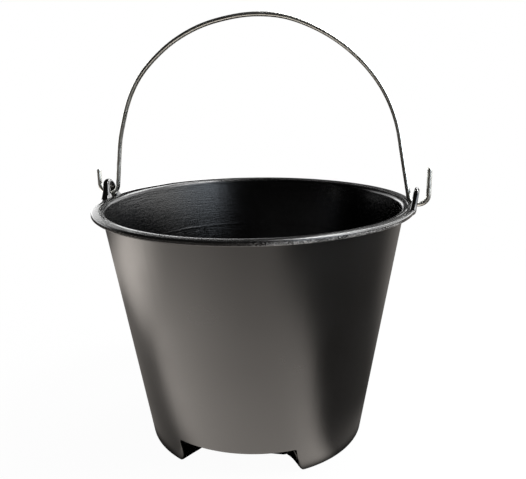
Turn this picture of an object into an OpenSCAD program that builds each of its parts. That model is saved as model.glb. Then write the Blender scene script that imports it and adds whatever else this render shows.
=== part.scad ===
// Black moulded plastic builder's bucket with a steel wire bail.
// Origin: centre of the base, on the ground. X runs through the two ears, Z is up.

/* [Tub] */
// Height from the ground to the top of the rim
tub_h = 241; // [200:1:300]
// Outer radius of the wall at the ground
base_r = 113; // [100:1:122]
// Outer radius of the wall line at the height of the rim's top
mouth_r = 151; // [142:1:170]
// Thickness of the wall
wall_t = 2.5; // [1.8:0.1:3.5]
// Thickness of the floor
floor_t = 3; // [2:0.1:5]
// Depth of the hollow under the floor
hollow_h = 1.5; // [0.5:0.1:3]
// Width of the ring that the bucket stands on
ring_w = 20; // [12:1:30]
// Radius of the rounded edge at the ground
heel_r = 3; // [1.5:0.1:5]
// Radius between wall and floor on the inside
corner_r = 9; // [4:0.5:14]
// Height of the raised level ring on the inside of the wall
level_z = 186; // [120:1:190]
// How far the level ring stands out of the wall
level_t = 0.5; // [0.3:0.1:1]

/* [Rim] */
// How far the rim reaches beyond the wall line
rim_w = 9; // [7:0.5:14]
// Thickness of the rim's flat top
rim_t = 2.6; // [2:0.1:4]
// Depth of the turned down edge, from the rim's top
edge_h = 5; // [4.4:0.1:8]
// Thickness of the turned down edge
edge_t = 2.6; // [2:0.1:3.5]
// Radius of the rounded outer edge
edge_r = 1.6; // [1:0.1:1.9]
// Depth of the parting groove round the edge
part_d = 0.4; // [0.2:0.1:0.8]

/* [Hand grips] */
// Height of each cut-out above the ground
grip_h = 27; // [18:1:40]
// Distance from the bucket's axis to the back wall of each grip
grip_back = 75; // [60:1:90]
// Angle that each cut-out takes up round the base
grip_spread = 56; // [40:1:70]
// Extra angle at each end where the foot's corner is rounded off
grip_flare = 4; // [2:0.5:6]
// Height of that rounded corner
flare_h = 8; // [4:0.5:12]
// Size of the blend under the ceiling
grip_blend = 5; // [2:0.5:8]
// Turn of both grips from the line square to the ears
grip_turn = 5; // [0:0.5:10]

/* [Ears] */
// Width of an ear where it stands on the rim
ear_w = 26; // [22:0.5:32]
// Height of an ear above the rim
ear_h = 19.5; // [18:0.5:28]
// Thickness of an ear along the radius
ear_t = 6; // [4.5:0.1:6.5]
// Radius of the ear's round top
ear_top_r = 8.5; // [8:0.1:10]
// Width of the eye
eye_w = 12; // [11:0.5:14]
// Height of the eye above the rim
eye_h = 15; // [13:0.5:15]
// How far an ear's outer face stands beyond the rim's edge
ear_proud = 2; // [0.5:0.1:2.5]
// Outward lean of an ear
ear_lean = 2; // [0:0.5:5]
// Length of the groove in the rim on each side of an ear
groove_len = 20; // [10:1:30]
// Depth of that groove
groove_d = 0.8; // [0.4:0.1:1.2]
// Width of that groove
groove_w = 1.4; // [0.8:0.1:2]

/* [Bail] */
// Diameter of the wire
wire_d = 4.5; // [4:0.1:5]
// Height of the bail's crown above its pivot axis, on the wire's centreline
bail_rise = 176.4; // [150:0.2:220]
// Lean of each leg
leg_lean = 7; // [4:0.5:10]
// Bend radius of the hooks, on the wire's centreline
hook_r = 11.2; // [10.5:0.1:14]
// How far the hook's bend lies outside the middle of the ear
hook_out = 1.6; // [0.8:0.1:3]
// Length of the left hook above its bend
hook_left_len = 13; // [8:0.5:20]
// Length of the right hook above its bend
hook_right_len = 22; // [14:0.5:30]
// Gap between the rim and the wire that crosses it
lie_gap = 0.45; // [0.3:0.05:1]

/* [Hidden] */
$fn = 96;
plastic = "#34322f";
steel = "#8e8e8a";
slope = (mouth_r - base_r) / tub_h;
stretch = sqrt(1 + slope * slope);
rim_r = mouth_r + rim_w;
mouth_edge_r = 1;
floor_z = hollow_h + floor_t;
ring_in = base_r - heel_r - ring_w;
ring_step = 1.5;
part_z = tub_h - edge_r - (edge_h - edge_r) / 2;
part_half = 0.6;
ear_out = rim_r + ear_proud;
ear_in = ear_out - ear_t;
ear_mid = ear_out - ear_t / 2;
pad_extra = 3;
pad_lip = 0.2;
groove_r = ear_in - groove_w / 2;
over = 1;
axis_z = tub_h + lie_gap + wire_d / 2;
hook_x = ear_mid + hook_out;
hook_z = axis_z + hook_r;
crown_z = axis_z + bail_rise;
// The leg's line touches the hook's bend on one side and the crown's circle on the other
leg_k = hook_x * cos(leg_lean) + hook_z * sin(leg_lean) - hook_r;
crown_r = (leg_k - crown_z * sin(leg_lean)) / (1 - sin(leg_lean));
crown_mid = crown_z - crown_r;
// A straight enters the bend that it joins a little thinner than the bend, and they become one wire
joint_in = 0.4;
joint_step = 0.02;

// Outer and inner radius of the wall at height z
function wall_out(z) = base_r + slope * z;
function wall_in(z) = wall_out(z) - wall_t * stretch;

// Points of an arc from angle a to angle b
function arc(x, y, r, a, b, n = 8) = [for (i = [0:n]) let (t = a + (b - a) * i / n) [x + r * cos(t), y + r * sin(t)]];

// Half section of the moulding, from the underside round the wall and rim to the floor
function tub_outline() = concat(
    [[0, hollow_h], [ring_in - ring_step, hollow_h], [ring_in, 0]],
    arc(wall_out(heel_r) - heel_r * stretch, heel_r, heel_r, -90, -atan(slope)),
    [[wall_out(tub_h - rim_t), tub_h - rim_t], [rim_r - edge_t, tub_h - rim_t], [rim_r - edge_t, tub_h - edge_h]],
    arc(rim_r - edge_t / 4, tub_h - edge_h + edge_t / 4, edge_t / 4, -90, 0, 4),
    [[rim_r, part_z - part_half], [rim_r - part_d, part_z], [rim_r, part_z + part_half]],
    arc(rim_r - edge_r, tub_h - edge_r, edge_r, 0, 90),
    arc(wall_in(tub_h) + mouth_edge_r, tub_h - mouth_edge_r, mouth_edge_r, 90, 180, 4),
    [
        [wall_in(level_z + 2 * level_t), level_z + 2 * level_t],
        [wall_in(level_z) - level_t, level_z + level_t / 2],
        [wall_in(level_z) - level_t, level_z - level_t / 2],
        [wall_in(level_z - 2 * level_t), level_z - 2 * level_t]
    ],
    arc(wall_in(floor_z + corner_r) - corner_r * stretch, floor_z + corner_r, corner_r, -atan(slope), -90),
    [[0, floor_z]]
);

// Plan of a hand grip: a wedge that opens outwards, grown by g on every side
module grip_plan(half, g, back) {
    far = base_r + grip_h;
    side = g / cos(half);
    polygon([
        [-(back - g) * tan(half) - side, g - back],
        [(back - g) * tan(half) + side, g - back],
        [far * tan(half) + side, -far],
        [-far * tan(half) - side, -far]
    ]);
}

// Thin slice of the grip at height z
module grip_slice(half, z, g, back) {
    thin = 0.01;
    translate([0, 0, z - thin]) linear_extrude(thin) grip_plan(half, g, back);
}

// Body of a grip from height z up to its ceiling, grown by g, with the ceiling's edge blended
module grip_room(z, g) {
    half = grip_spread / 2;
    lean = atan(grip_blend / base_r);
    hull() {
        grip_slice(half, z, g, grip_back);
        grip_slice(half, grip_h - grip_blend, g, grip_back);
        grip_slice(half - lean, grip_h + g, g, grip_back + grip_blend);
    }
}

// The foot's rounded corners at both ends of a grip
module grip_mouth() {
    half = grip_spread / 2;
    hull() {
        grip_slice(half + grip_flare, -over, 0, grip_back);
        grip_slice(half + grip_flare / 2, flare_h / 3, 0, grip_back);
        grip_slice(half, flare_h, 0, grip_back);
    }
}

// Both grips are alike, on opposite sides
module both_grips() {
    for (a = [0, 180]) rotate(a + grip_turn) children();
}

// Both ears stand on the X axis
module both_sides() {
    for (a = [0, 180]) rotate(a) children();
}

// Grooves in the rim's top that run out from the ears
module rim_grooves() {
    span = groove_len / groove_r * 180 / PI;
    start = asin(ear_w / 2 / groove_r);
    both_sides() {
        for (a = [start, -start - span])
            rotate(a) rotate_extrude(angle = span)
                translate([groove_r - groove_w / 2, tub_h - groove_d]) square([groove_w, groove_d + over]);
    }
}

// Square-edged seat on the rim for an ear
module ear_pad() {
    pad_w = ear_w + 2 * pad_extra;
    pad_r = ear_out + pad_lip;
    both_sides() {
        intersection() {
            difference() {
                translate([0, 0, tub_h - rim_t]) cylinder(h = rim_t, r = pad_r);
                translate([0, 0, tub_h - rim_t - over]) cylinder(h = rim_t + 2 * over, r = mouth_r);
            }
            translate([0, -pad_w / 2, 0]) cube([pad_r + over, pad_w, tub_h + over]);
        }
    }
}

module tub() {
    color(plastic) difference() {
        union() {
            rotate_extrude() polygon(tub_outline());
            ear_pad();
            intersection() {
                both_grips() grip_room(hollow_h + floor_t / 2, wall_t);
                translate([0, 0, heel_r]) cylinder(h = tub_h, r1 = wall_out(heel_r) - wall_t / 2,
                    r2 = wall_out(heel_r + tub_h) - wall_t / 2);
            }
        }
        both_grips() {
            grip_room(-over, 0);
            grip_mouth();
        }
        rim_grooves();
    }
}

// Front view of an ear: legs that lean in to a round top, with an arched eye
module ear_shape() {
    h = ear_h - ear_top_r;
    reach = sqrt(ear_w * ear_w / 4 + h * h);
    t = acos(ear_top_r / reach) - atan(h / (ear_w / 2));
    difference() {
        polygon(concat([[-ear_w / 2, 0], [ear_w / 2, 0]], arc(0, h, ear_top_r, t, 180 - t, 16)));
        translate([-eye_w / 2, -over]) square([eye_w, eye_h - eye_w / 2 + over]);
        translate([0, eye_h - eye_w / 2]) circle(d = eye_w);
    }
}

// Round body whose side starts at radius r on the rim and leans out as an ear does
module leaning_round(r, below, above) {
    grow = tan(ear_lean);
    translate([0, 0, -below]) cylinder(h = below + above, r1 = r - below * grow, r2 = r + above * grow);
}

// Ear on the side of +X, cut to the curve of the rim
module ear() {
    reach = ear_out + ear_h * tan(ear_lean) - mouth_r;
    translate([0, 0, tub_h]) intersection() {
        translate([mouth_r, 0, 0]) rotate([90, 0, 90]) linear_extrude(reach + over) ear_shape();
        difference() {
            leaning_round(ear_out, 0, ear_h + over);
            leaning_round(ear_in, over, ear_h + 2 * over);
        }
    }
}

module left_ear() {
    color(plastic) rotate(180) ear();
}

module right_ear() {
    color(plastic) ear();
}

// Arc of wire in the plane of the bail, from angle a through angle sweep
module wire_arc(x, z, r, a, sweep) {
    translate([x, 0, z]) rotate([90, 0, 0]) rotate(a) rotate_extrude(angle = sweep)
        translate([r, 0]) circle(d = wire_d, $fn = 32);
}

// Leg, hook bend and hook on the side of +X
module bail_side(tip_len) {
    foot = [hook_x - hook_r * cos(leg_lean), hook_z - hook_r * sin(leg_lean)];
    head = [crown_r * cos(leg_lean), crown_mid + crown_r * sin(leg_lean)];
    translate([foot[0], 0, foot[1]]) rotate([0, -leg_lean, 0]) translate([0, 0, -joint_in])
        cylinder(h = norm(head - foot) + 2 * joint_in, d = wire_d - joint_step, $fn = 32);
    wire_arc(hook_x, hook_z, hook_r, 180 + leg_lean, 180 - leg_lean);
    translate([hook_x + hook_r, 0, hook_z]) {
        translate([0, 0, -joint_in]) cylinder(h = tip_len + joint_in, d = wire_d - joint_step, $fn = 32);
    }
}

module bail() {
    color(steel) union() {
        wire_arc(0, crown_mid, crown_r, leg_lean, 180 - 2 * leg_lean);
        bail_side(hook_right_len);
        mirror([1, 0, 0]) bail_side(hook_left_len);
    }
}

tub();
left_ear();
right_ear();
bail();
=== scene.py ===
"""Looks of the builder's bucket: black moulded tub, two ears and a steel wire bail."""

import math

import bmesh
import bpy
from mathutils import Euler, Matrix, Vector


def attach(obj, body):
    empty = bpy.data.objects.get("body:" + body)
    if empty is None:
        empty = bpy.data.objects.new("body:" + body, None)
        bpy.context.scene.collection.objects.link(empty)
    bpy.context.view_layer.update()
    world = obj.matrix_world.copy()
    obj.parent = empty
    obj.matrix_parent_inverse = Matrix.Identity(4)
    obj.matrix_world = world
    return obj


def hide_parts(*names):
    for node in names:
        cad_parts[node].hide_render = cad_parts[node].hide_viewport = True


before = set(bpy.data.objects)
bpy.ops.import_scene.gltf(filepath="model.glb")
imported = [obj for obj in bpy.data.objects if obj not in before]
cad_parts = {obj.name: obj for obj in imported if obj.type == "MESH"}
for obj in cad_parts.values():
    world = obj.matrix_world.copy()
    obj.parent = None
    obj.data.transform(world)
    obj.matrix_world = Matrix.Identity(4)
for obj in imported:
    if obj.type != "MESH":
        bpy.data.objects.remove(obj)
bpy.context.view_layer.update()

MM = 0.001
DEG = math.pi / 180

# Shapes are in millimetres and degrees, and shaders work in metres and radians. The bucket stands on the
# ground round the Z axis, its front is at -Y, and directions round it count from +X.

# The tub's wall and floor. The wall is a hair slimmer than in the CAD part, as the photograph's outline
# has it.
TUB_H = 241.0
BASE_R = 112.7
MOUTH_R = 150.4
WALL_T = 2.5
FLOOR_T = 3.0
FLOOR_CORNER_R = 9.0
HOLLOW_H = 1.5
RING_W = 20.0
HEEL_R = 1.8

SLOPE = (MOUTH_R - BASE_R) / TUB_H
STRETCH = math.hypot(1.0, SLOPE)
WALL_ANGLE = math.atan(SLOPE) / DEG
FLOOR_Z = HOLLOW_H + FLOOR_T
RING_IN = BASE_R - HEEL_R - RING_W

# The soft step from the hollow underside down to the standing ring: offset from the ring's inner edge, and
# height
RING_STEP = ((-2.0, HOLLOW_H), (-1.0, HOLLOW_H - 0.25), (-0.3, 0.35), (0.8, 0.0))

# Radii of the plain rows of points in the middle of the underside and of the floor, and where the foot's
# own rows begin and end
UNDERSIDE_ROWS = (0.0, 20.0, 40.0, 58.0)
FOOT_START_R = 72.0
FOOT_END_R = 66.0
FLOOR_ROWS = (50.0, 34.0, 17.0, 0.0)

# The soft raised ring inside: height, how far it stands out, half its width, and the bare wall beside it
LEVEL_Z = 186.0
LEVEL_T = 0.10
LEVEL_HALF = 2.0
LEVEL_SIDE = 1.2
LEVEL_ROWS = 8

# The rim is a plate with a skirt. The skirt has an inner face, a bevel above the hem, a plumb outer face and
# a round shoulder.
RIM_R = 160.0
RIM_T = 2.6
ROOT_R = 1.6
HEM_IN = 155.6
HEM_OUT = 159.0
HEM_Z = 236.1
SKIRT_Z = 237.0
SHOULDER_R = 1.5
SHOULDER_TURN = 86.0

# How much of its small edges is taken off: under the plate, the hem's inner and outer edge, and the edge
# between bevel and plumb face. TIP and CREASE place the points in the middle of these edges.
UNDER_EASE = 0.8
HEM_EASE = 0.5
BEVEL_EASE = 0.3
SKIRT_EASE = 0.12
TIP = 0.1
CREASE = 0.05

# The rim's top: the radius where it is highest, how far it falls to the shoulder and to the mouth, rows of
# points on it, and the mouth's round edge
TOP_MID_R = 153.2
TOP_FALL = 0.25
TOP_ROWS = (157.4, 156.2, 155.2)
MOUTH_FALL = 0.35
MOUTH_ROUND = 4.6

# The groove that runs along the rim from each ear's foot: radius, half width and depth, then how far it
# reaches under the foot, the length over which it deepens, and where and over what length it fades out
GROOVE_R = 153.6
GROOVE_HALF = 0.9
GROOVE_DEEP = 0.9
GROOVE_IN = 4.0
GROOVE_RISE = 3.0
GROOVE_END = 34.0
GROOVE_FADE = 30.0

# The rim is off a level plane by up to WARP about WARP_MID, up at the sides and down at the front and back.
# The warp grows with height on the tub. It starts beside each ear, and is low where the lying bail crosses.
WARP = 0.65
WARP_MID = 0.1
WARP_TURN = 18.0
WARP_LOW_Z = 222.0
WARP_FULL_Z = 236.0
WARP_EAR_GAP = 2.0
WARP_EAR_FADE = 14.0
WARP_UNDER_BAIL = 0.36
BAIL_CROSS = 84.0
BAIL_CROSS_FADE = 30.0

# Length over which the rim's bulge under an ear fades out beside it
PAD_FADE = 9.0

# The two grips: height, plane of the back wall, half the width in degrees and the turn off front and back,
# then the radii of the lip, of the ceiling's inner corner and of the back wall's foot
GRIP_H = 26.4
GRIP_BACK = 75.0
GRIP_HALF = 29.0
GRIP_TURN = 5.0
GRIP_MIDDLES = (-90 + GRIP_TURN, 90 + GRIP_TURN)
LIP_R = 1.1
CEILING_R = 5.0
BACK_FOOT_R = 1.2

# The grip's housing inside the tub: radii where it meets the wall and the floor, and of its edge
HOUSING_ROOT_R = 2.5
HOUSING_EDGE_R = 3.5

# The ends of a grip, by the side they are on: radius of the foot's lower corner, and how far the end leans
# away at the ground. The corner's lift fades out at CORNER_H.
GRIP_ENDS = {1: (7.0, 3.0), -1: (4.5, 0.0)}
CORNER_H = 16.0
LEAN_POWER = 1.2

# These changes reach END_OUT degrees past the grip and END_IN degrees into it. On the outer skin they grow
# outwards from the radius END_FROM_R over END_FADE, and on the inner one they fade out upwards over
# INNER_FADE.
END_OUT = 9.0
END_IN = 2.0
END_FROM_R = 80.0
END_FADE = 12.0
INNER_FADE = 7.0

# Above these heights the tub's section is the same over the grips and beside them, outside and inside
COMMON_Z = GRIP_H + 6.0
COMMON_IN_Z = COMMON_Z + 4

# The columns of points round the tub: one every COLUMN_STEP degrees, and every FINE_STEP near the ears. At
# the end of a grip there are plain ones this far before it, then columns round the foot's edge and round the
# inner corner of the end wall. COLUMN_GAP keeps the regular ones clear of them.
COLUMN_STEP = 2.5
FINE_STEP = 0.6
FINE_COUNT = 24
BEFORE_END = (9.0, 7.6, 6.2)
END_WALL_SHARES = (0.25, 0.5, 0.75)
END_EDGE_R = 5.0
END_EDGE_STEPS = 6
END_CORNER_R = 2.0
END_CORNER_STEPS = 4
COLUMN_GAP = 0.5

# Points of two sections that are closer than this are one point
SAME = 1e-9

# Degrees to a millimetre along the foot, taken in the middle of its width
FOOT_MID_R = 100.0
PER_MM = 1 / (FOOT_MID_R * DEG)

# The ears: width, height and top radius of the arch; the eye's size and how far it is off the middle; the
# thickness at the foot and at the top, how far the outer face is from the axis at the foot and how it leans;
# how far the ear has crept along the rim, and how far the rim stands out under it
EARS = {
    "left": {
        "name": "ear_left", "node": "left_ear", "side": -1,
        "width": 28.0, "height": 19.4, "top_r": 7.9,
        "eye_w": 10.0, "eye_h": 14.0, "eye_off": 1.5,
        "foot_t": 8.6, "top_t": 6.2, "out": 162.7, "lean": 4.0,
        "slide": -2.2, "proud": 2.2,
    },
    "right": {
        "name": "ear_right", "node": "right_ear", "side": 1,
        "width": 26.0, "height": 19.4, "top_r": 8.2,
        "eye_w": 11.2, "eye_h": 14.6, "eye_off": 0.0,
        "foot_t": 5.6, "top_t": 5.2, "out": 161.5, "lean": 6.0,
        "slide": 0.0, "proud": 1.0,
    },
}

# Both ears: height of the foot, how deep it goes into the rim, how far it flares and up to what height, the
# same for the eye, the height at which the taper ends, the round of the edges, and half of the flat that is
# left at least between them
EAR_FOOT_Z = 240.5
EAR_DEEP = 1.6
EAR_FLARE = 2.4
EAR_FLARE_H = 9.0
EYE_FLARE = 0.3
EYE_FLARE_H = 3.0
EAR_TAPER_H = 18.0
EAR_ROUND = 2.5
EAR_FLAT_HALF = 0.05
EAR_SIDES = 28
EAR_LEG_STEPS = 14
EAR_TOP_STEPS = 20

# The bail: wire, height of the crown's top above the axis, the crown's radius, and the gap to the rim when
# the bail lies on it
WIRE_D = 4.5
WIRE_SIDES = 20
BAIL_RISE = 176.4
CROWN_R = 146.3
LIE_GAP = 0.45
AXIS_Z = TUB_H + LIE_GAP + WIRE_D / 2
CROWN_MID = AXIS_Z + BAIL_RISE - CROWN_R

# Each hook: side, bend radius, the bend's middle in x, and how high the tip stands above it
HOOKS = {
    "left": (-1, 10.7, 160.8, 15.4),
    "right": (1, 9.2, 162.3, 25.6),
}
TIP_STEPS = 14
BEND_STEPS = 28
LEG_STEPS = 16
CROWN_STEPS = 180

# The crown was bent by hand: angle from the right, millimetres off the true arc, width in degrees. The bumps
# begin and end softly: where, and over how many degrees.
CROWN_BUMPS = ((143, 1.85, 13), (165, -0.75, 8), (124, 0.45, 8), (100, -0.65, 8), (77, 0.6, 8), (30, 1.1, 17))
BUMPS_FROM = (7, 12)
BUMPS_TO = (172, 14)

# The camera, fitted to the bucket's outline: where it aims and stands, its roll, and its focal length in
# pixels of the photograph, which is PICTURE_W wide
CAMERA_AIM = (8.9, 2.4, 200.4)
CAMERA_PLACE = (169.7, -595.7, 361.3)
CAMERA_ROLL = -0.85
FOCAL = 620.22
PICTURE_W = 526
SENSOR_W = 36.0


def clamp(value, low=0.0, high=1.0):
    return max(low, min(high, value))


def smooth(value):
    """0 to 1 with a soft start and end."""
    t = clamp(value)
    return t * t * (3 - 2 * t)


def mix(a, b, t):
    return a + (b - a) * t


def wall_out(z):
    """Radius of the wall's outer face."""
    return BASE_R + SLOPE * z


def wall_in(z):
    """Radius of the wall's inner face."""
    return wall_out(z) - WALL_T * STRETCH


def arc(x, y, radius, start, end, steps):
    """Points of an arc, both ends included."""
    turns = [start + (end - start) * i / steps for i in range(steps + 1)]
    return [(x + radius * math.cos(t * DEG), y + radius * math.sin(t * DEG)) for t in turns]


def along(a, b, steps, ends=(True, True)):
    """Points on a straight line, with or without each of its ends."""
    first = 0 if ends[0] else 1
    last = steps if ends[1] else steps - 1
    return [(mix(a[0], b[0], i / steps), mix(a[1], b[1], i / steps)) for i in range(first, last + 1)]


def new_object(name, verts, faces, material):
    """A smooth mesh object from points in millimetres."""
    mesh = bpy.data.meshes.new(name)
    mesh.from_pydata([tuple(c * MM for c in v) for v in verts], [], faces)
    mesh.validate()
    mesh.update()
    made = bmesh.new()
    made.from_mesh(mesh)
    bmesh.ops.remove_doubles(made, verts=made.verts, dist=1e-6)
    bmesh.ops.recalc_face_normals(made, faces=made.faces)
    made.to_mesh(mesh)
    made.free()
    mesh.polygons.foreach_set("use_smooth", [True] * len(mesh.polygons))
    mesh.materials.append(material)
    obj = bpy.data.objects.new(name, mesh)
    bpy.context.scene.collection.objects.link(obj)
    return obj


def make_camera():
    """Camera at the photograph's viewing angle."""
    data = bpy.data.cameras.new("camera")
    data.sensor_width = SENSOR_W
    data.lens = SENSOR_W * FOCAL / PICTURE_W
    camera = bpy.data.objects.new("camera", data)
    bpy.context.scene.collection.objects.link(camera)
    place = Vector(CAMERA_PLACE) * MM
    turn = (Vector(CAMERA_AIM) * MM - place).to_track_quat("-Z", "Y")
    camera.location = place
    camera.rotation_mode = "QUATERNION"
    camera.rotation_quaternion = turn @ Euler((0, 0, CAMERA_ROLL * DEG)).to_quaternion()
    bpy.context.scene.camera = camera


class Nodes:
    """Short form for building a node tree. Arguments are numbers or sockets of other nodes."""

    def __init__(self, tree):
        self.tree = tree
        tree.nodes.clear()

    def add(self, kind, values=None, **settings):
        node = self.tree.nodes.new(kind)
        for key, value in settings.items():
            setattr(node, key, value)
        for key, value in (values or {}).items():
            if isinstance(value, bpy.types.NodeSocket):
                self.tree.links.new(value, node.inputs[key])
            else:
                node.inputs[key].default_value = value
        return node

    def math(self, operation, a, b=0.0, c=0.0):
        return self.add("ShaderNodeMath", {0: a, 1: b, 2: c}, operation=operation).outputs[0]

    def times(self, first, *others):
        for other in others:
            first = self.math("MULTIPLY", first, other)
        return first

    def plus(self, base, part, share=1.0):
        """The base and a share of the part."""
        return self.math("MULTIPLY_ADD", part, share, base)

    def rest(self, value):
        """What the value leaves to 1."""
        return self.math("SUBTRACT", 1.0, value)

    def parts(self, vector):
        """The vector's x, y and z."""
        node = self.add("ShaderNodeSeparateXYZ", {0: vector})
        return node.outputs[0], node.outputs[1], node.outputs[2]

    def distance(self, a, b):
        return self.add("ShaderNodeVectorMath", {0: a, 1: b}, operation="DISTANCE").outputs["Value"]

    def ramp(self, value, low, high, to_low=0.0, to_high=1.0):
        """A soft step from to_low, where the value is low, to to_high, where it is high."""
        values = {"Value": value, "From Min": low, "From Max": high, "To Min": to_low, "To Max": to_high}
        return self.add("ShaderNodeMapRange", values, interpolation_type="SMOOTHSTEP").outputs[0]

    def spread(self, noise, to_low, to_high):
        """The middle of a noise's range, spread evenly over another range."""
        low, high = NOISE_MIDDLE
        values = {"Value": noise, "From Min": low, "From Max": high, "To Min": to_low, "To Max": to_high}
        return self.add("ShaderNodeMapRange", values).outputs[0]

    def noise(self, vector, scale, detail=3.0, roughness=0.5):
        """Noise. Three scales stretch it along the axes."""
        if isinstance(scale, tuple):
            vector = self.add("ShaderNodeMapping", {"Vector": vector, "Scale": scale}).outputs[0]
            scale = 1.0
        values = {"Vector": vector, "Scale": scale, "Detail": detail, "Roughness": roughness}
        return self.add("ShaderNodeTexNoise", values).outputs["Fac"]

    def bump(self, height, strength, depth, normal=None):
        values = {"Height": height, "Strength": strength, "Distance": depth}
        if normal is not None:
            values["Normal"] = normal
        return self.add("ShaderNodeBump", values).outputs[0]

    def colour(self, factor, a, b):
        """Colour a where the factor is 0, and b where it is 1."""
        node = self.add("ShaderNodeMix", data_type="RGBA")
        self.tree.links.new(factor, node.inputs["Factor"])
        for key, value in (("A", a), ("B", b)):
            socket = [s for s in node.inputs if s.name == key and s.type == "RGBA"][0]
            if isinstance(value, bpy.types.NodeSocket):
                self.tree.links.new(value, socket)
            else:
                socket.default_value = (*value, 1.0)
        return [s for s in node.outputs if s.type == "RGBA"][0]


def new_material(name):
    material = bpy.data.materials.new(name)
    material.use_nodes = True
    return material, Nodes(material.node_tree)


def compass_angle(n, vector, middle):
    """Signed angle round the bucket from a direction in degrees, in radians."""
    values = {"Vector": vector, "Angle": -middle * DEG}
    turned = n.add("ShaderNodeVectorRotate", values, rotation_type="Z_AXIS").outputs[0]
    x, y, _ = n.parts(turned)
    return n.math("ARCTAN2", y, x)


# The part of a noise's range that nearly all of it lies in
NOISE_MIDDLE = (0.3, 0.7)

# The plastic's tones, a much darker tone inside the tub that is painted shade, its middle roughness on the
# tub and on the ears, and how far it is off that
PLASTIC_TONES = ((0.0026, 0.0024, 0.0022), (0.0038, 0.0035, 0.0032))
INSIDE_PAINTED_SHADE_TONE = (0.0006, 0.0006, 0.0006)
TUB_ROUGHNESS = 0.30
EAR_ROUGHNESS = 0.18
ROUGHNESS_SPREAD = (-0.03, 0.05)

# How the rim's polish and the inside change the roughness, and how much duller the inside's sheen is
RIM_POLISH = -0.08
RIM_POLISH_Z = (236.2 * MM, 237.2 * MM)
INSIDE_POLISH = -0.09
SHEEN = 0.9
INSIDE_SHEEN = -0.4

# The relief all over: shares of grain and of fine level lines in it
GRAIN_SHARE = 0.4
LINES_SHARE = 0.6

# Drag lines inside: share of broken ones, strength, the share of it on the right, and the places in x
# between which it changes
BROKEN_SHARE = 0.5
INSIDE_DRAG = 0.50
DRAG_RIGHT = 0.3
DRAG_X = (90.0 * MM, 20.0 * MM)

# Pits on the hem: strength, and the radii and heights between which they begin
HEM_PITS = 0.35
PITS_R = (152.0 * MM, 153.5 * MM)
PITS_Z = (240.5 * MM, 238.5 * MM)

# Light specks along the front right of the hem, partly wear and partly painted highlights from the light on
# the
# right: tone, added roughness, heights of both edges, inner radius, middle direction, both ends, and the
# share of the noise that is marked
WEAR_GLINT_TONE = (0.36, 0.355, 0.35)
WEAR_GLINT_ROUGHNESS = 0.25
WEAR_GLINT_TOP = (240.4 * MM, 238.4 * MM)
WEAR_GLINT_LOW = (235.8 * MM, 236.6 * MM)
WEAR_GLINT_R = 158.0 * MM
WEAR_GLINT_MIDDLE = -48
WEAR_GLINT_RIGHT = (30 * DEG, 24 * DEG)
WEAR_GLINT_LEFT = (-36 * DEG, -10 * DEG)
WEAR_GLINT_PATCH = 0.30
WEAR_GLINT_NOISE = (0.61, 0.72)

# The wire's tones and roughness
STEEL_TONES = ((0.74, 0.74, 0.69), (0.95, 0.95, 0.89))
STEEL_ROUGHNESS = (0.24, 0.34)


def wear_and_glints(n, place, height, radius):
    """Light specks along the hem, thick in some places and missing in others: partly wear, partly painted
    highlights from the light on the right.
    """
    speck = n.noise(place, scale=1100.0, detail=2.0, roughness=0.6)
    patch = n.noise(place, scale=32.0, detail=2.0)
    angle = compass_angle(n, place, WEAR_GLINT_MIDDLE)
    outside = n.math("LESS_THAN", WEAR_GLINT_R, radius)
    ring = n.times(n.ramp(height, *WEAR_GLINT_TOP), n.ramp(height, *WEAR_GLINT_LOW), outside)
    stretch = n.times(n.ramp(angle, *WEAR_GLINT_RIGHT), n.ramp(angle, *WEAR_GLINT_LEFT))
    return n.times(ring, stretch, n.ramp(n.plus(speck, patch, WEAR_GLINT_PATCH), *WEAR_GLINT_NOISE))


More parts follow.
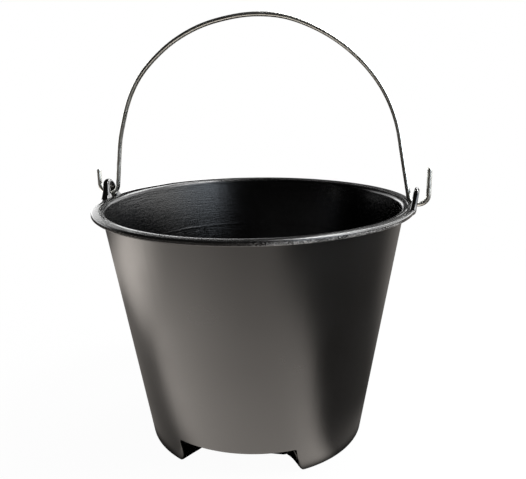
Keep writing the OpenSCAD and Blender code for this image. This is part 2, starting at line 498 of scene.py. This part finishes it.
def black_plastic(name, middle_roughness):
    """Satin black polyethylene. Inside the tub it has fine drag lines and a darker tone that is painted
    shade, and the hem is pitted and has light specks that are partly wear and partly painted highlights.
    """
    material, n = new_material(name)
    place = n.add("ShaderNodeTexCoord").outputs["Object"]
    x, _, height = n.parts(place)
    flat = n.add("ShaderNodeVectorMath", {0: place, 1: (1.0, 1.0, 0.0)}, operation="MULTIPLY").outputs[0]
    radius = n.add("ShaderNodeVectorMath", {0: flat}, operation="LENGTH").outputs["Value"]
    wall_middle = n.plus((BASE_R - WALL_T / 2) * MM, height, SLOPE)
    inside = n.math("LESS_THAN", radius, wall_middle)
    wear_and_glint = wear_and_glints(n, place, height, radius)

    cloud = n.noise(place, scale=14.0, detail=4.0)
    tone = n.colour(cloud, *PLASTIC_TONES)
    # Painted shade: inside the tub the tone is much darker.
    tone = n.colour(inside, tone, INSIDE_PAINTED_SHADE_TONE)
    # Light specks on the hem's front right: wear and painted highlights.
    tone = n.colour(wear_and_glint, tone, WEAR_GLINT_TONE)

    handled = n.times(n.ramp(height, *RIM_POLISH_Z), n.rest(inside))
    roughness = n.spread(cloud, *(middle_roughness + off for off in ROUGHNESS_SPREAD))
    roughness = n.plus(roughness, wear_and_glint, WEAR_GLINT_ROUGHNESS)
    roughness = n.plus(roughness, handled, RIM_POLISH)
    roughness = n.plus(roughness, inside, INSIDE_POLISH)

    grain = n.noise(place, scale=900.0, detail=2.0)
    lines = n.noise(place, scale=(40.0, 40.0, 900.0))
    relief = n.plus(n.times(grain, GRAIN_SHARE), lines, LINES_SHARE)
    bump = n.bump(relief, strength=0.10, depth=0.2 * MM)

    pits = n.noise(place, scale=520.0, detail=3.0, roughness=0.6)
    hem = n.times(n.ramp(radius, *PITS_R), n.ramp(height, *PITS_Z))
    bump = n.bump(pits, strength=n.times(hem, HEM_PITS), depth=0.5 * MM, normal=bump)

    drag = n.noise(place, scale=(60.0, 60.0, 900.0), detail=4.0, roughness=0.6)
    broken = n.noise(place, scale=(260.0, 260.0, 1100.0))
    streaks = n.plus(drag, broken, BROKEN_SHARE)
    strength = n.times(inside, n.ramp(x, *DRAG_X, DRAG_RIGHT * INSIDE_DRAG, INSIDE_DRAG))
    bump = n.bump(streaks, strength, depth=0.4 * MM, normal=bump)

    shader = n.add("ShaderNodeBsdfPrincipled", {
        "Base Color": tone,
        "Roughness": roughness,
        "IOR": 1.5,
        "Specular IOR Level": n.plus(SHEEN, inside, INSIDE_SHEEN),
        "Normal": bump,
    })
    n.add("ShaderNodeOutputMaterial", {"Surface": shader.outputs[0]})
    return material


def steel(name):
    """Dull galvanised wire with a fine grain."""
    material, n = new_material(name)
    place = n.add("ShaderNodeTexCoord").outputs["Object"]
    cloud = n.noise(place, scale=60.0, detail=4.0)
    grain = n.noise(place, scale=1500.0, detail=2.0)
    shader = n.add("ShaderNodeBsdfPrincipled", {
        "Base Color": n.colour(cloud, *STEEL_TONES),
        "Roughness": n.spread(cloud, *STEEL_ROUGHNESS),
        "Metallic": 1.0,
        "Normal": n.bump(grain, strength=0.15, depth=0.2 * MM),
    })
    n.add("ShaderNodeOutputMaterial", {"Surface": shader.outputs[0]})
    return material


tub_plastic = black_plastic("black_plastic", TUB_ROUGHNESS)
ear_plastic = black_plastic("black_plastic_ears", EAR_ROUGHNESS)
wire_steel = steel("steel_wire")


# Sections of the tub, as points of radius and height. A section starts under the middle of the base and runs
# round the outside, over the rim and down the inside to the middle of the floor. The foot's part has one form
# beside the grips and one over a grip, with the same number of points, so that points can be blended.

def foot_outside():
    """From the underside round the standing ring and up the wall."""
    ring = [(RING_IN + offset, z) for offset, z in RING_STEP]
    heel = arc(wall_out(HEEL_R) - HEEL_R * STRETCH, HEEL_R, HEEL_R, -90, -WALL_ANGLE, 6)
    flat = along(ring[-1], heel[0], 5, (False, False))
    wall = along((wall_out(HEEL_R), HEEL_R), (wall_out(COMMON_Z), COMMON_Z), 12, (False, True))
    return [(FOOT_START_R, HOLLOW_H)] + ring + flat + heel + wall


def grip_outside(back):
    """The grip's underside: up the back wall, out along the ceiling, round the lip and up the wall."""
    lip_x = wall_out(GRIP_H + LIP_R) - LIP_R
    foot = arc(back - BACK_FOOT_R, HOLLOW_H + BACK_FOOT_R, BACK_FOOT_R, -90, 0, 3)
    corner = arc(back + CEILING_R, GRIP_H - CEILING_R, CEILING_R, 180, 90, 5)
    lip = arc(lip_x, GRIP_H + LIP_R, LIP_R, -90, -WALL_ANGLE, 5)
    rise = along(foot[-1], corner[0], 4, (False, False))
    ceiling = along(corner[-1], lip[0], 6, (False, False))
    points = [(FOOT_START_R, HOLLOW_H)] + foot + rise + corner + ceiling + lip
    missing = len(foot_outside()) - len(points)
    return points + along(lip[-1], (wall_out(COMMON_Z), COMMON_Z), missing, (False, True))


def foot_inside():
    """From the inner wall above the grips down to the floor, and inwards."""
    top = (wall_in(COMMON_IN_Z), COMMON_IN_Z)
    corner_z = FLOOR_Z + FLOOR_CORNER_R
    corner_x = wall_in(corner_z) - FLOOR_CORNER_R * STRETCH
    corner = arc(corner_x, corner_z, FLOOR_CORNER_R, -WALL_ANGLE, -90, 8)
    floor = along(corner[-1], (FOOT_END_R, FLOOR_Z), 6, (False, True))
    return along(top, corner[0], 9, (True, False)) + corner + floor


def grip_inside(back):
    """Over the top of a grip's housing, down its back to the floor, and inwards."""
    top = (wall_in(COMMON_IN_Z), COMMON_IN_Z)
    roof_z = GRIP_H + WALL_T
    root_z = roof_z + HOUSING_ROOT_R
    inner = back - WALL_T
    root = arc(wall_in(root_z) - HOUSING_ROOT_R, root_z, HOUSING_ROOT_R, 0, -90, 4)
    edge = arc(inner + HOUSING_EDGE_R, roof_z - HOUSING_EDGE_R, HOUSING_EDGE_R, 90, 180, 5)
    heel = arc(inner - HOUSING_ROOT_R, FLOOR_Z + HOUSING_ROOT_R, HOUSING_ROOT_R, 0, -90, 3)
    roof = along(root[-1], edge[0], 4, (False, False))
    down = along(edge[-1], heel[0], 4, (False, False))
    points = [top] + root + roof + edge + down + heel
    missing = len(foot_inside()) - len(points)
    return points + along(heel[-1], (FOOT_END_R, FLOOR_Z), missing, (False, True))


def rim_skirt(pad):
    """The wall under the rim and the skirt, up to the end of its shoulder. The skirt stands out by pad."""
    plate_z = TUB_H - RIM_T
    root_z = plate_z - ROOT_R
    wall = along((wall_out(COMMON_Z), COMMON_Z), (wall_out(root_z), root_z), 26, (False, True))
    root = arc(wall_out(root_z) + ROOT_R, root_z, ROOT_R, 180, 90, 4)[1:]
    inner = [(HEM_IN - UNDER_EASE, plate_z), (HEM_IN - TIP, plate_z - 2 * TIP)]
    inner += [(HEM_IN, plate_z - UNDER_EASE), (HEM_IN, HEM_Z + HEM_EASE)]
    inner += [(HEM_IN + TIP, HEM_Z + TIP), (HEM_IN + HEM_EASE, HEM_Z)]

    side = RIM_R + pad
    low = HEM_OUT + pad
    shoulder_z = TUB_H - TOP_FALL - SHOULDER_R
    bevel = [(low - BEVEL_EASE, HEM_Z), (low - CREASE, HEM_Z + CREASE)]
    bevel += along((low + CREASE, HEM_Z + 3 * CREASE), (side - SKIRT_EASE, SKIRT_Z - 2 * CREASE), 3)
    plumb = [(side, SKIRT_Z + SKIRT_EASE / 2)]
    plumb += along((side, SKIRT_Z + 4 * CREASE), (side, shoulder_z), 4, (True, False))
    shoulder = arc(side - SHOULDER_R, shoulder_z, SHOULDER_R, 0, SHOULDER_TURN, 8)
    return wall + root + inner + bevel + plumb + shoulder


def rim_top(groove):
    """The rim's slightly round top with its groove, and the mouth's round edge."""
    shoulder_r = RIM_R - SHOULDER_R
    groove_rows = tuple(GROOVE_R + GROOVE_HALF * share for share in (1, 1 / 3, -1 / 3, -1))
    top = []
    for r in TOP_ROWS + groove_rows:
        dip = smooth(1 - abs(r - GROOVE_R) / GROOVE_HALF)
        away = (r - TOP_MID_R) / (shoulder_r - TOP_MID_R)
        top.append((r, TUB_H - TOP_FALL * away * abs(away) - groove * GROOVE_DEEP * dip))
    mouth_z = TUB_H - MOUTH_FALL - MOUTH_ROUND
    return top + arc(wall_in(mouth_z) + MOUTH_ROUND, mouth_z, MOUTH_ROUND, 90, 180, 12)


def upper_inside(start):
    """The inner wall from the mouth down to the foot's part, with the raised ring."""
    above_z = LEVEL_Z + LEVEL_HALF + LEVEL_SIDE
    below_z = LEVEL_Z - LEVEL_HALF - LEVEL_SIDE
    ring = []
    for i in range(LEVEL_ROWS + 1):
        share = 1 - 2 * i / LEVEL_ROWS
        z = LEVEL_Z + LEVEL_HALF * share
        ring.append((wall_in(z) - LEVEL_T * (0.5 + 0.5 * math.cos(math.pi * share)), z))
    upper = along(start, (wall_in(above_z), above_z), 10, (False, True))
    lower = along((wall_in(below_z), below_z), (wall_in(COMMON_IN_Z), COMMON_IN_Z), 20, (True, False))
    return upper + ring + lower


def rim_section(pad, groove):
    """Wall, rim and upper inside. The rim stands out by pad, and its groove has a share of its depth."""
    points = rim_skirt(pad) + rim_top(groove)
    return points + upper_inside(points[-1])


def off_ear(angle):
    """The nearer ear, and the distance in y from its middle."""
    ear = EARS["right"] if math.cos(angle * DEG) > 0 else EARS["left"]
    y = RIM_R * math.sin(angle * DEG)
    return ear, abs(y - ear["slide"])


def pad_at(angle):
    """How far the rim stands out under an ear and beside it."""
    ear, away = off_ear(angle)
    return ear["proud"] * (1 - smooth((away - ear["width"] / 2) / PAD_FADE))


def warp_at(angle):
    """How far the rim is off a level plane."""
    ear, away = off_ear(angle)
    free = smooth((away - ear["width"] / 2 - WARP_EAR_GAP) / WARP_EAR_FADE)
    height = WARP_MID + free * WARP * math.cos(2 * (angle + WARP_TURN) * DEG)
    return min(height, WARP_UNDER_BAIL + smooth((away - BAIL_CROSS) / BAIL_CROSS_FADE))


def groove_at(angle):
    """The groove's share of its depth."""
    ear, away = off_ear(angle)
    fade = 1 - smooth((away - GROOVE_END) / GROOVE_FADE)
    return fade * smooth((away - ear["width"] / 2 + GROOVE_IN) / GROOVE_RISE)


def end_columns():
    """Columns across one end of a grip, from the foot into the grip: offset along the ring towards the grip,
    depth from the foot's section, and, where that is None, how the rest of the way to the grip's is cut."""
    columns = [(-before, 0.0, None) for before in BEFORE_END]
    for i in range(END_EDGE_STEPS + 1):
        turn = 90 * i / END_EDGE_STEPS * DEG
        columns.append((-END_EDGE_R * (1 - math.sin(turn)), END_EDGE_R * (1 - math.cos(turn)), None))
    for share in END_WALL_SHARES:
        columns.append((0.0, None, share))
    for i in range(END_CORNER_STEPS + 1):
        turn = 90 * i / END_CORNER_STEPS * DEG
        columns.append((END_CORNER_R * (1 - math.cos(turn)), None, -END_CORNER_R * (1 - math.sin(turn))))
    return columns


def blend_point(foot, grip, depth, rest):
    """A point on the way from the foot's section to the grip's. It is depth millimetres along. Where that is
    None, rest is a share of the straight stretch, or else minus the millimetres left."""
    span = math.dist(foot, grip)
    if span < SAME:
        return foot
    low = min(END_EDGE_R, span / 2)
    high = span - min(END_CORNER_R, span / 2)
    if depth is not None:
        way = min(depth, low)
    elif rest > 0:
        way = mix(low, high, rest)
    else:
        way = max(span + rest, high)
    t = clamp(way / span)
    return (mix(foot[0], grip[0], t), mix(foot[1], grip[1], t))


def regular_angles():
    """Directions of the regular columns, which stand closer near the ears."""
    angles = {round(i * COLUMN_STEP, 4) for i in range(int(360 / COLUMN_STEP))}
    for ear_angle in (0, 180):
        for i in range(-FINE_COUNT, FINE_COUNT + 1):
            angles.add(round((ear_angle + i * FINE_STEP) % 360, 4))
    return sorted(angles)


def off_grip(angle):
    """Signed angle from the middle of the nearer grip."""
    return min(((angle - middle + 180) % 360 - 180 for middle in GRIP_MIDDLES), key=abs)


def tub_columns():
    """Every column of the tub: direction, angle from the middle of its grip, depth and rest."""
    columns = []
    reach_out = GRIP_HALF + max(BEFORE_END) * PER_MM + COLUMN_GAP
    reach_in = GRIP_HALF - END_CORNER_R * PER_MM - COLUMN_GAP
    for angle in regular_angles():
        off = off_grip(angle)
        if abs(off) > reach_out:
            columns.append((angle, off, 0.0, None))
        elif abs(off) < reach_in:
            columns.append((angle, off, None, 0.0))
    for middle in GRIP_MIDDLES:
        for sign in (-1, 1):
            for shift, depth, rest in end_columns():
                off = sign * (GRIP_HALF - shift * PER_MM)
                columns.append(((middle + off) % 360, off, depth, rest))
    return sorted(columns, key=lambda column: column[0])


def foot_points(off, depth, rest):
    """The foot's points outside and inside, each with the degrees by which it is turned off the grip."""
    back = GRIP_BACK / math.cos(off * DEG)
    sign = 1 if off > 0 else -1
    past = abs(off) - GRIP_HALF
    near = 1 - smooth(past / END_OUT) if past >= -END_IN else 0.0
    corner_r, lean = GRIP_ENDS[sign]
    down = clamp(past / PER_MM, 0.0, corner_r)
    lift = corner_r - math.sqrt(corner_r ** 2 - (corner_r - down) ** 2)

    outside = []
    for foot, grip in zip(foot_outside(), grip_outside(back)):
        x, z = blend_point(foot, grip, depth, rest)
        span = math.dist(foot, grip)
        left = 1 - math.dist(foot, (x, z)) / span if span > SAME else 1.0
        share = smooth((foot[0] - END_FROM_R) / END_FADE) * left
        turn = lean * PER_MM * clamp(1 - foot[1] / GRIP_H) ** LEAN_POWER * share * near
        rise = lift * clamp(1 - foot[1] / CORNER_H) * share
        outside.append((x + SLOPE * rise, z + rise, sign * turn))

    inside = []
    for foot, grip in zip(foot_inside(), grip_inside(back)):
        x, z = blend_point(foot, grip, depth, rest)
        turn = WALL_T * PER_MM * near * smooth((COMMON_IN_Z - z) / INNER_FADE)
        inside.append((x, z, sign * turn))
    return outside, inside


def tub_rings():
    """One ring of points for each column, from under the middle of the base to the middle of the floor."""
    underside = [(r, HOLLOW_H, 0.0) for r in UNDERSIDE_ROWS]
    floor = [(r, FLOOR_Z, 0.0) for r in FLOOR_ROWS]
    rings = []
    for angle, off, depth, rest in tub_columns():
        outside, inside = foot_points(off, depth, rest)
        rim = [(r, z, 0.0) for r, z in rim_section(pad_at(angle), groove_at(angle))]
        warp = warp_at(angle)
        ring = []
        for r, z, turn in underside + outside + rim + inside + floor:
            a = (angle + turn) * DEG
            up = warp * smooth((z - WARP_LOW_Z) / (WARP_FULL_Z - WARP_LOW_Z))
            ring.append((r * math.cos(a), r * math.sin(a), z + up))
        rings.append(ring)
    return rings


def skin(rings):
    """Points and quads between rings that go round."""
    size = len(rings[0])
    faces = []
    for i in range(len(rings)):
        j = (i + 1) % len(rings)
        for k in range(size - 1):
            faces.append((i * size + k, j * size + k, j * size + k + 1, i * size + k + 1))
    return [p for ring in rings for p in ring], faces


def make_tub():
    verts, faces = skin(tub_rings())
    tub = new_object("tub_shell", verts, faces, tub_plastic)
    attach(tub, "tub")
    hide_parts("tub")


def closed_tube(rings):
    """Points and faces of a tube of closed rings with both ends filled."""
    size = len(rings[0])
    last = (len(rings) - 1) * size
    faces = []
    for i in range(len(rings) - 1):
        for k in range(size):
            m = (k + 1) % size
            faces.append((i * size + k, i * size + m, (i + 1) * size + m, (i + 1) * size + k))
    faces.append(tuple(reversed(range(size))))
    faces.append(tuple(last + k for k in range(size)))
    return [p for ring in rings for p in ring], faces


# An ear is an arched bar. Its section is a rectangle with round corners that turns with the arch.

def rounded_box(width, thick):
    """Closed outline of a rectangle with round corners, as (u, v) pairs."""
    radius = min(EAR_ROUND, width / 2 - EAR_FLAT_HALF, thick / 2 - EAR_FLAT_HALF)
    per_corner = EAR_SIDES // 4
    points = []
    for corner, (sx, sy) in enumerate(((1, 1), (-1, 1), (-1, -1), (1, -1))):
        for i in range(per_corner):
            t = 90 * (corner + i / (per_corner - 1)) * DEG
            u = sx * (width / 2 - radius) + radius * math.cos(t)
            v = sy * (thick / 2 - radius) + radius * math.sin(t)
            points.append((u, v))
    return points


def ear_path(ear):
    """Pairs of points on the outer and inner outline of the arch, from one foot to the other."""
    half = ear["width"] / 2
    top_r = ear["top_r"]
    top_mid = ear["height"] - top_r
    eye_r = ear["eye_w"] / 2
    eye_mid = ear["eye_h"] - eye_r

    # The straight legs touch the round top at this angle and point
    touch = (math.acos(top_r / math.hypot(half, top_mid)) - math.atan2(top_mid, half)) / DEG
    touch_x = top_r * math.cos(touch * DEG)
    touch_z = top_mid + top_r * math.sin(touch * DEG)

    leg = []
    for i in range(EAR_LEG_STEPS + 1):
        t = i / EAR_LEG_STEPS
        outer_z = mix(-EAR_DEEP, touch_z, t)
        inner_z = mix(-EAR_DEEP, eye_mid, t)
        flare = EAR_FLARE * (1 - clamp(outer_z / EAR_FLARE_H)) ** 2
        outer_x = mix(half, touch_x, clamp(outer_z / touch_z)) + flare
        inner_x = eye_r - EYE_FLARE * (1 - clamp(inner_z / EYE_FLARE_H)) ** 2
        leg.append(((outer_x, outer_z), (inner_x, inner_z)))
    outer_arc = arc(0.0, top_mid, top_r, touch, 180 - touch, EAR_TOP_STEPS)[1:-1]
    inner_arc = arc(0.0, eye_mid, eye_r, 0, 180, EAR_TOP_STEPS)[1:-1]
    other_leg = [((-o[0], o[1]), (-i[0], i[1])) for o, i in reversed(leg)]
    shift = ear["side"] * ear["eye_off"]
    pairs = leg + list(zip(outer_arc, inner_arc)) + other_leg
    return [(outer, (inner[0] + shift, inner[1])) for outer, inner in pairs]


def ear_rings(ear):
    rings = []
    for outer, inner in ear_path(ear):
        mid = ((outer[0] + inner[0]) / 2, (outer[1] + inner[1]) / 2)
        width = math.dist(outer, inner)
        across = ((outer[0] - inner[0]) / width, (outer[1] - inner[1]) / width)
        thick = mix(ear["foot_t"], ear["top_t"], clamp(mid[1] / EAR_TAPER_H))
        ring = []
        for u, v in rounded_box(width, thick):
            y = mid[0] + across[0] * u
            z = mid[1] + across[1] * u
            radius = ear["out"] - thick / 2 + math.tan(ear["lean"] * DEG) * max(z, 0) + v
            x = math.sqrt(radius * radius - y * y)
            ring.append((x * ear["side"], y * ear["side"] + ear["slide"], EAR_FOOT_Z + z))
        rings.append(ring)
    return rings


def make_ears():
    for ear in EARS.values():
        verts, faces = closed_tube(ear_rings(ear))
        made = new_object(ear["name"], verts, faces, ear_plastic)
        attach(made, "tub")
        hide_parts(ear["node"])


# The bail is one wire from the right tip over the crown to the left tip

def crown_point(angle):
    """A point of the crown, as (x, z)."""
    ends = smooth((angle - BUMPS_FROM[0]) / BUMPS_FROM[1]) * smooth((BUMPS_TO[0] - angle) / BUMPS_TO[1])
    bumps = sum(high * math.exp(-((angle - at) / wide) ** 2) for at, high, wide in CROWN_BUMPS)
    radius = CROWN_R + ends * bumps
    return (radius * math.cos(angle * DEG), CROWN_MID + radius * math.sin(angle * DEG))


def hook_points(side, radius, middle, tip):
    """A hook from its tip to the crown, as (x, z), and the lean of the leg between them."""
    hook_z = AXIS_Z + radius
    drop = CROWN_MID - hook_z
    lean = (math.acos((CROWN_R + radius) / math.hypot(middle, drop)) - math.atan2(drop, middle)) / DEG
    head = (CROWN_R * math.cos(lean * DEG), CROWN_MID + CROWN_R * math.sin(lean * DEG))
    points = along((middle + radius, hook_z + tip), (middle + radius, hook_z), TIP_STEPS, (True, False))
    points += arc(middle, hook_z, radius, 0, -180 + lean, BEND_STEPS)
    points += along(points[-1], head, LEG_STEPS, (False, False))
    return [(side * x, z) for x, z in points], lean


def bail_line():
    """Points of the wire's centreline as (x, z)."""
    right, right_lean = hook_points(*HOOKS["right"])
    left, left_lean = hook_points(*HOOKS["left"])
    turns = [mix(right_lean, 180 - left_lean, i / CROWN_STEPS) for i in range(CROWN_STEPS + 1)]
    return right + [crown_point(t) for t in turns] + list(reversed(left))


def bail_rings():
    line = bail_line()
    rings = []
    for i, (x, z) in enumerate(line):
        a = line[max(i - 1, 0)]
        b = line[min(i + 1, len(line) - 1)]
        length = math.dist(a, b)
        normal = ((a[1] - b[1]) / length, (b[0] - a[0]) / length)
        circle = arc(0.0, 0.0, WIRE_D / 2, 0, 360, WIRE_SIDES)[:-1]
        rings.append([(x + normal[0] * out, y, z + normal[1] * out) for out, y in circle])
    return rings


def make_bail():
    verts, faces = closed_tube(bail_rings())
    bail = new_object("bail_wire", verts, faces, wire_steel)
    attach(bail, "bail")
    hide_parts("bail")


# Pale floor and soft studio light. The camera sees white paper with a light shadow on it. What the bucket
# mirrors is painted light and shade on the paper, an emission that only glossy rays see: a painted lit
# stretch on its left and in front, a painted spot of light, painted shadows, and a dim studio elsewhere. A
# pair of numbers gives the two ends of a soft step, in metres or radians, and two more numbers its values
# there. AWAY is the distance from the bucket's axis.

# The painted lit stretch: the direction that its angles count from, the distances between which its right end
# moves from one angle to the other, that end's softness, its left end, and where it fades out in two steps
LIT_FROM = 262
EDGE_AWAY = (0.27, 0.50)
EDGE_ANGLE = (63.5 * DEG, 40 * DEG)
EDGE_SOFT = 7 * DEG
LEFT_END = (-150 * DEG, -110 * DEG)
FAR_END = (0.86, 0.58)
FAR_FADE = (1.0, 0.62)

# Its level falls with the distance and rises to the left, and a band along its right end is brighter
LEVEL_AWAY = (0.12, 0.52, 1.6, 0.72)
LEVEL_X = (0.12, -0.34, 0.97, 1.75)
BAND_ANGLE = (-24 * DEG, -9 * DEG)
BAND_AWAY = (0.27, 0.19)
BAND_GAIN = 0.18
BAND_BASE = 1.04

# A painted spot of light on the paper on the left
SPOT_PLACE = (-0.62, -0.14, 0.0)
SPOT_AWAY = (0.34, 0.06)
SPOT_GLOW = 2.6

# A painted short shadow that falls to the left, as from a second light on the right: its front, its slanting
# edge, given by the direction across it and its distance from the axis, its right end, and its strength
SHADE_Y = (-0.140, -0.106)
SHADE_ACROSS = (0.755, 0.655)
SHADE_OFF = 0.2995
SHADE_EDGE = (-0.035, 0.04)
SHADE_X = (-0.02, -0.07)
SHADE_AWAY = (0.58, 0.40, 0.45, 0.91)

# Painted dim light elsewhere: all over, close to the bucket on its right, and behind it. Right under the
# bucket it is painted dark, as shade.
DIM_GLOW = 0.08
NEAR_GLOW = 0.22
NEAR_AWAY = (0.155, 0.112)
NEAR_X = (0.05, 0.11)
BEHIND_GLOW = 0.3
BEHIND_FROM = 75
BEHIND_ANGLE = (52 * DEG, 18 * DEG)
BEHIND_AWAY = (0.16, 0.50, 0.35, 1.0)
DARK_AWAY = (0.112, 0.122)

# The paper as the camera sees it: its own tone, and the share of pure white in it near the bucket and far
# off. The painted light and shade that glossy surfaces mirror has a warm tone.
PAPER_TONE = (0.86, 0.86, 0.86, 1.0)
PAPER_WHITE = (0.25, 0.9, 0.965, 1.0)
PAINTED_GLOW_TONE = (1.0, 0.925, 0.855, 1.0)
WHITE = (1.0, 1.0, 1.0, 1.0)
FLOOR_HALF = 4000.0

# The dim studio that the bucket mirrors: a wall on the right, one behind on the left and a low strip on the
# horizon. Each has its direction, half width and soft edge in degrees, the sines of the heights between which
# it ends, and its glow. Then the glow all over, the soft light on everything, and a blue tint on the right.
RIGHT_SECTOR = (20, 65, 8)
RIGHT_TOP = (0.85, 0.55)
RIGHT_LOW = (0.40, 0.15, 1.0, 1.9)
RIGHT_SKY = 2.0
BACK_SECTOR = (146, 23, 8)
BACK_TOP = (0.46, 0.22)
BACK_SKY = 2.4
LOW_SECTOR = (119, 12, 6)
LOW_TOP = (0.215, 0.165)
LOW_SKY = 3.6
DIM_SKY = 0.012
SOFT_SKY = 0.40
BLUE_SECTOR = (-34, 24, 16)
BLUE_TINT = (0.90, 1.0, 1.12)
NO_TINT = (1.0, 1.0, 1.0)

# Panels of light: name, direction, height in degrees, size and power. All face one point from one distance.
PANELS = (
    ("panel_back", 78, 50, 500, 7.0),
    ("panel_right", -6, 42, 500, 6.0),
    ("panel_top", 9, 68, 300, 8.0),
)
LIGHT_AIM = Vector((0, 0, 100))
LIGHT_AWAY = 1100.0


def painted_lit_stretch(n, place, away, x):
    """Level of the painted lit stretch of paper."""
    angle = compass_angle(n, place, LIT_FROM)
    past = n.math("SUBTRACT", angle, n.ramp(away, *EDGE_AWAY, *EDGE_ANGLE))
    stretch = n.times(n.ramp(past, EDGE_SOFT, -EDGE_SOFT), n.ramp(angle, *LEFT_END))
    band = n.times(n.ramp(past, *BAND_ANGLE), n.ramp(away, *BAND_AWAY))
    level = n.times(n.ramp(away, *LEVEL_AWAY), n.ramp(x, *LEVEL_X), n.plus(BAND_BASE, band, BAND_GAIN))
    return n.times(stretch, level, n.ramp(away, *FAR_END))


def painted_short_shadow(n, away, x, y):
    """Strength of the painted shadow, as of a second light's shadow."""
    slant = n.plus(n.plus(SHADE_OFF, y, SHADE_ACROSS[1]), x, SHADE_ACROSS[0])
    shadow = n.times(n.ramp(y, *SHADE_Y), n.ramp(slant, *SHADE_EDGE), n.ramp(x, *SHADE_X))
    return n.times(shadow, n.ramp(away, *SHADE_AWAY))


def painted_paper_glow(n, place, away):
    """Painted light and shade on the paper, as bright as a surface that mirrors it sees it."""
    x, y, _ = n.parts(place)
    spot = n.ramp(n.distance(place, SPOT_PLACE), *SPOT_AWAY)
    # Painted pool of light on the left of the paper.
    lit = n.plus(painted_lit_stretch(n, place, away, x), spot, SPOT_GLOW)
    lit = n.times(lit, n.rest(painted_short_shadow(n, away, x, y)), n.ramp(away, *FAR_FADE))
    near = n.times(n.ramp(away, *NEAR_AWAY), n.ramp(x, *NEAR_X))
    behind = n.ramp(n.math("ABSOLUTE", compass_angle(n, place, BEHIND_FROM)), *BEHIND_ANGLE)
    behind = n.times(behind, n.ramp(away, *BEHIND_AWAY))
    glow = n.plus(n.math("ADD", lit, DIM_GLOW), near, NEAR_GLOW)
    glow = n.plus(glow, behind, BEHIND_GLOW)
    return n.times(glow, n.ramp(away, *DARK_AWAY))


def make_floor():
    material, n = new_material("floor")
    path = n.add("ShaderNodeLightPath")
    place = n.add("ShaderNodeTexCoord").outputs["Object"]
    away = n.add("ShaderNodeVectorMath", {0: place}, operation="LENGTH").outputs["Value"]
    paper = n.add("ShaderNodeBsdfDiffuse", {"Color": PAPER_TONE})
    white = n.add("ShaderNodeEmission", {"Color": WHITE, "Strength": 1.0})
    glow = painted_paper_glow(n, place, away)
    # To glossy rays only, the paper glows with this painted light and shade.
    painted_glow_shader = n.add("ShaderNodeEmission", {"Color": PAINTED_GLOW_TONE, "Strength": glow})
    seen = n.math("MAXIMUM", path.outputs["Is Camera Ray"], path.outputs["Is Transmission Ray"])
    share = n.times(seen, n.ramp(away, *PAPER_WHITE))
    shown = n.add("ShaderNodeMixShader", {0: share, 1: paper.outputs[0], 2: white.outputs[0]})
    glossy = path.outputs["Is Glossy Ray"]
    both = n.add("ShaderNodeMixShader", {0: glossy, 1: shown.outputs[0], 2: painted_glow_shader.outputs[0]})
    n.add("ShaderNodeOutputMaterial", {"Surface": both.outputs[0]})
    corners = [(sx * FLOOR_HALF, sy * FLOOR_HALF, 0) for sx, sy in ((-1, -1), (1, -1), (1, 1), (-1, 1))]
    floor = new_object("floor", corners, [(0, 1, 2, 3)], material)


def sector(n, vector, middle, half, soft):
    """1 within half degrees of a direction, 0 outside, with a soft edge."""
    angle = n.math("ABSOLUTE", compass_angle(n, vector, middle))
    return n.ramp(angle, (half + soft) * DEG, (half - soft) * DEG)


def make_world():
    world = bpy.data.worlds.new("studio")
    world.use_nodes = True
    bpy.context.scene.world = world
    n = Nodes(world.node_tree)
    path = n.add("ShaderNodeLightPath")
    glossy = path.outputs["Is Glossy Ray"]
    way = n.add("ShaderNodeTexCoord").outputs["Generated"]
    height = n.parts(way)[2]
    right = n.times(sector(n, way, *RIGHT_SECTOR), n.ramp(height, *RIGHT_TOP), n.ramp(height, *RIGHT_LOW))
    left_back = n.times(sector(n, way, *BACK_SECTOR), n.ramp(height, *BACK_TOP))
    horizon = n.times(sector(n, way, *LOW_SECTOR), n.ramp(height, *LOW_TOP))
    glow = n.plus(DIM_SKY, right, RIGHT_SKY)
    glow = n.plus(glow, left_back, BACK_SKY)
    glow = n.plus(glow, horizon, LOW_SKY)
    glow = n.plus(n.times(glow, glossy), path.outputs["Is Diffuse Ray"], SOFT_SKY)
    seen = n.math("MAXIMUM", path.outputs["Is Camera Ray"], path.outputs["Is Transmission Ray"])
    blue = n.times(sector(n, way, *BLUE_SECTOR), glossy)
    tint = n.colour(blue, NO_TINT, BLUE_TINT)
    sky = n.add("ShaderNodeBackground", {"Color": tint, "Strength": n.math("MAXIMUM", glow, seen)})
    n.add("ShaderNodeOutputWorld", {"Surface": sky.outputs[0]})


def make_panel(name, compass, height, size, power):
    """A square panel of light that faces the bucket."""
    data = bpy.data.lights.new(name, "AREA")
    data.shape = "SQUARE"
    data.size = size * MM
    data.energy = power
    light = bpy.data.objects.new(name, data)
    bpy.context.scene.collection.objects.link(light)
    flat = math.cos(height * DEG)
    way = Vector((math.cos(compass * DEG) * flat, math.sin(compass * DEG) * flat, math.sin(height * DEG)))
    light.location = (LIGHT_AIM + way * LIGHT_AWAY) * MM
    light.rotation_mode = "QUATERNION"
    light.rotation_quaternion = (-way).to_track_quat("-Z", "Y")


make_camera()
make_tub()
make_ears()
make_bail()
make_floor()
make_world()
for panel in PANELS:
    make_panel(*panel)

bpy.context.scene.view_settings.view_transform = "Standard"
